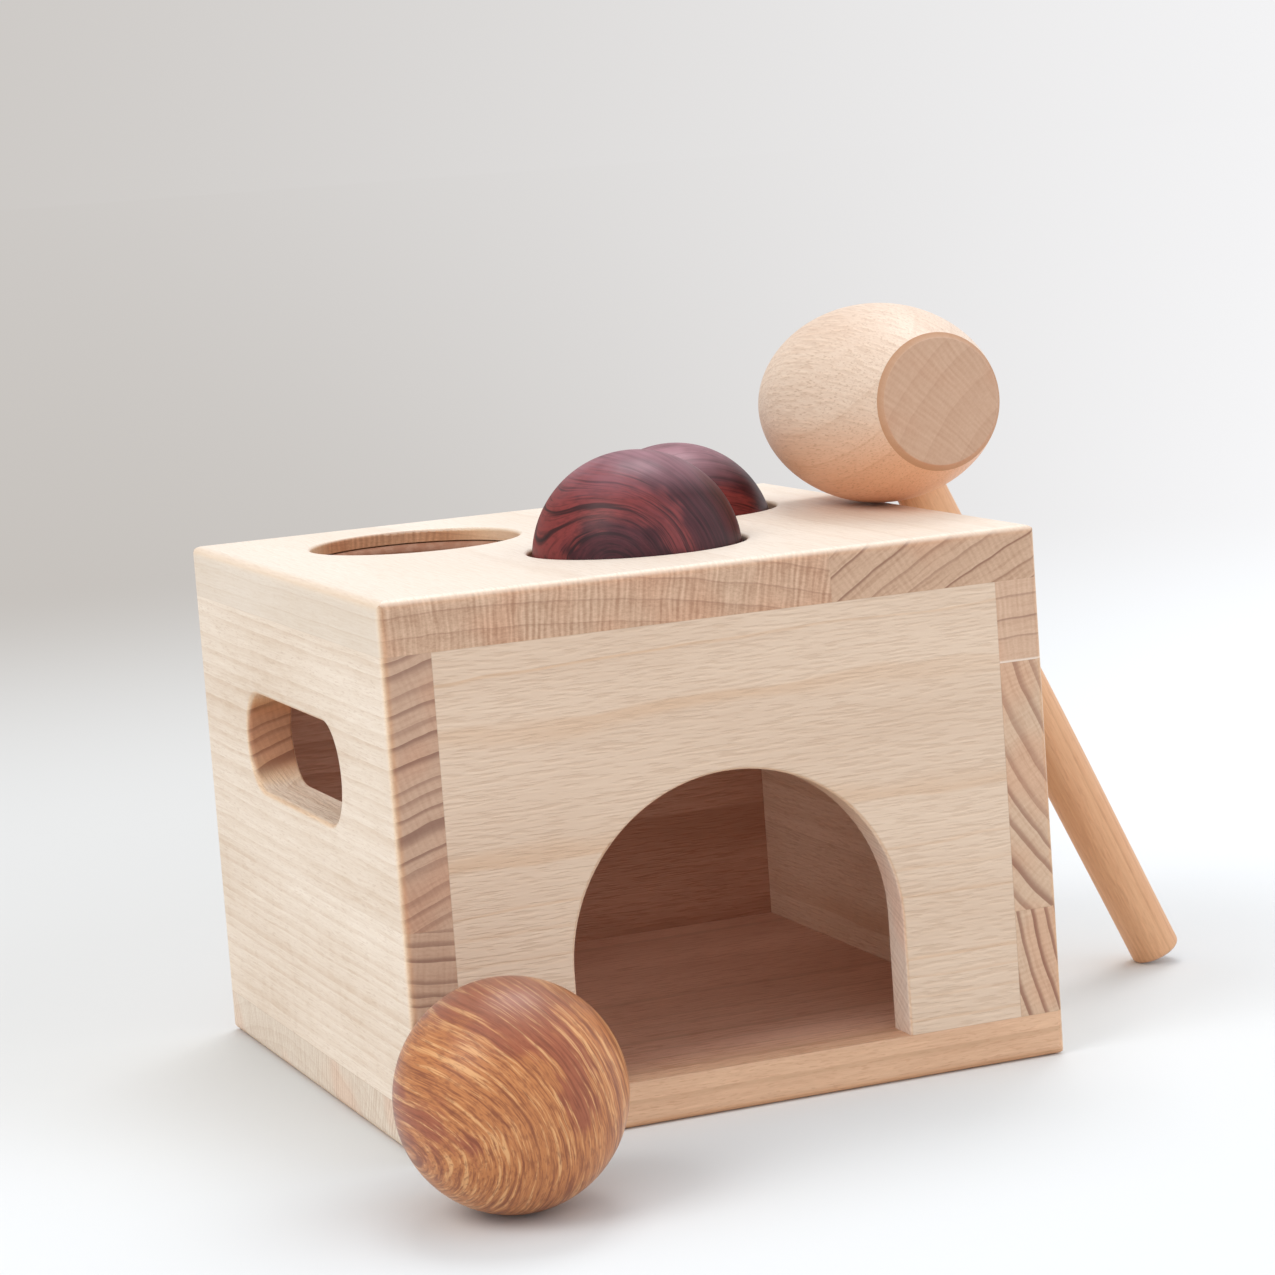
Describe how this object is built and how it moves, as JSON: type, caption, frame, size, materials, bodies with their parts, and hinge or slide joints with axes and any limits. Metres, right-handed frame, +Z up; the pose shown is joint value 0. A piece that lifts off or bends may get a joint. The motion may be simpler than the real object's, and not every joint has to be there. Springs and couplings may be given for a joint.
{
  "type": "object permanence box",
  "caption": "Beech box with round holes that hold balls in its top, an arched doorway, hand slots, wooden balls and a barrel-headed hammer to knock them through.",
  "frame": {"origin": "middle of the box's underside, where it rests on the table", "axes": "+X to the right along the front, +Y from the arched front to the back, +Z up"},
  "size_m": [0.2383, 0.2178, 0.169],
  "materials": {
    "beech": "sanded, oiled, matt",
    "panel_beech": "sanded, oiled, matt",
    "dowel_beech": "fluteless dowel rod, glued",
    "turned_beech": "turned and sanded, oiled, matt",
    "rosewood": "polished, satin",
    "golden_hardwood": "polished, satin",
    "elastic": "soft, matt"
  },
  "bodies": {
    "box": {"top_left_stave": "beech", "top_right_stave": "beech", "left_upper_stave": "beech", "left_lower_stave": "beech", "right_upper_stave": "beech", "right_middle_stave": "beech", "right_lower_stave": "beech", "bottom_board": "beech", "front_panel": "panel_beech", "back_panel": "panel_beech", "top_dowels": "dowel_beech", "bottom_dowels": "dowel_beech", "front_hole_ring": "elastic", "rear_hole_ring": "elastic", "empty_hole_ring": "elastic"},
    "front_ball": {"front_ball": "rosewood"},
    "rear_ball": {"rear_ball": "rosewood"},
    "loose_ball": {"loose_ball": "golden_hardwood"},
    "hammer": {"hammer_head": "turned_beech", "hammer_handle": "turned_beech"}
  },
  "joints": [
    {"name": "front_ball_knock", "type": "slide", "parent": "box", "child": "front_ball", "axis": [0, 0, 1], "range_m": [-0.084, 0.06]},
    {"name": "rear_ball_knock", "type": "slide", "parent": "box", "child": "rear_ball", "axis": [0, 0, 1], "range_m": [-0.0791, 0.012]},
    {"name": "loose_ball_roll", "type": "slide", "parent": "box", "child": "loose_ball", "axis": [0, 1, 0], "range_m": [-0.12, 0.019]},
    {"name": "hammer_lift", "type": "slide", "parent": "box", "child": "hammer", "axis": [0, 0, 1], "range_m": [0, 0.12]}
  ]
}
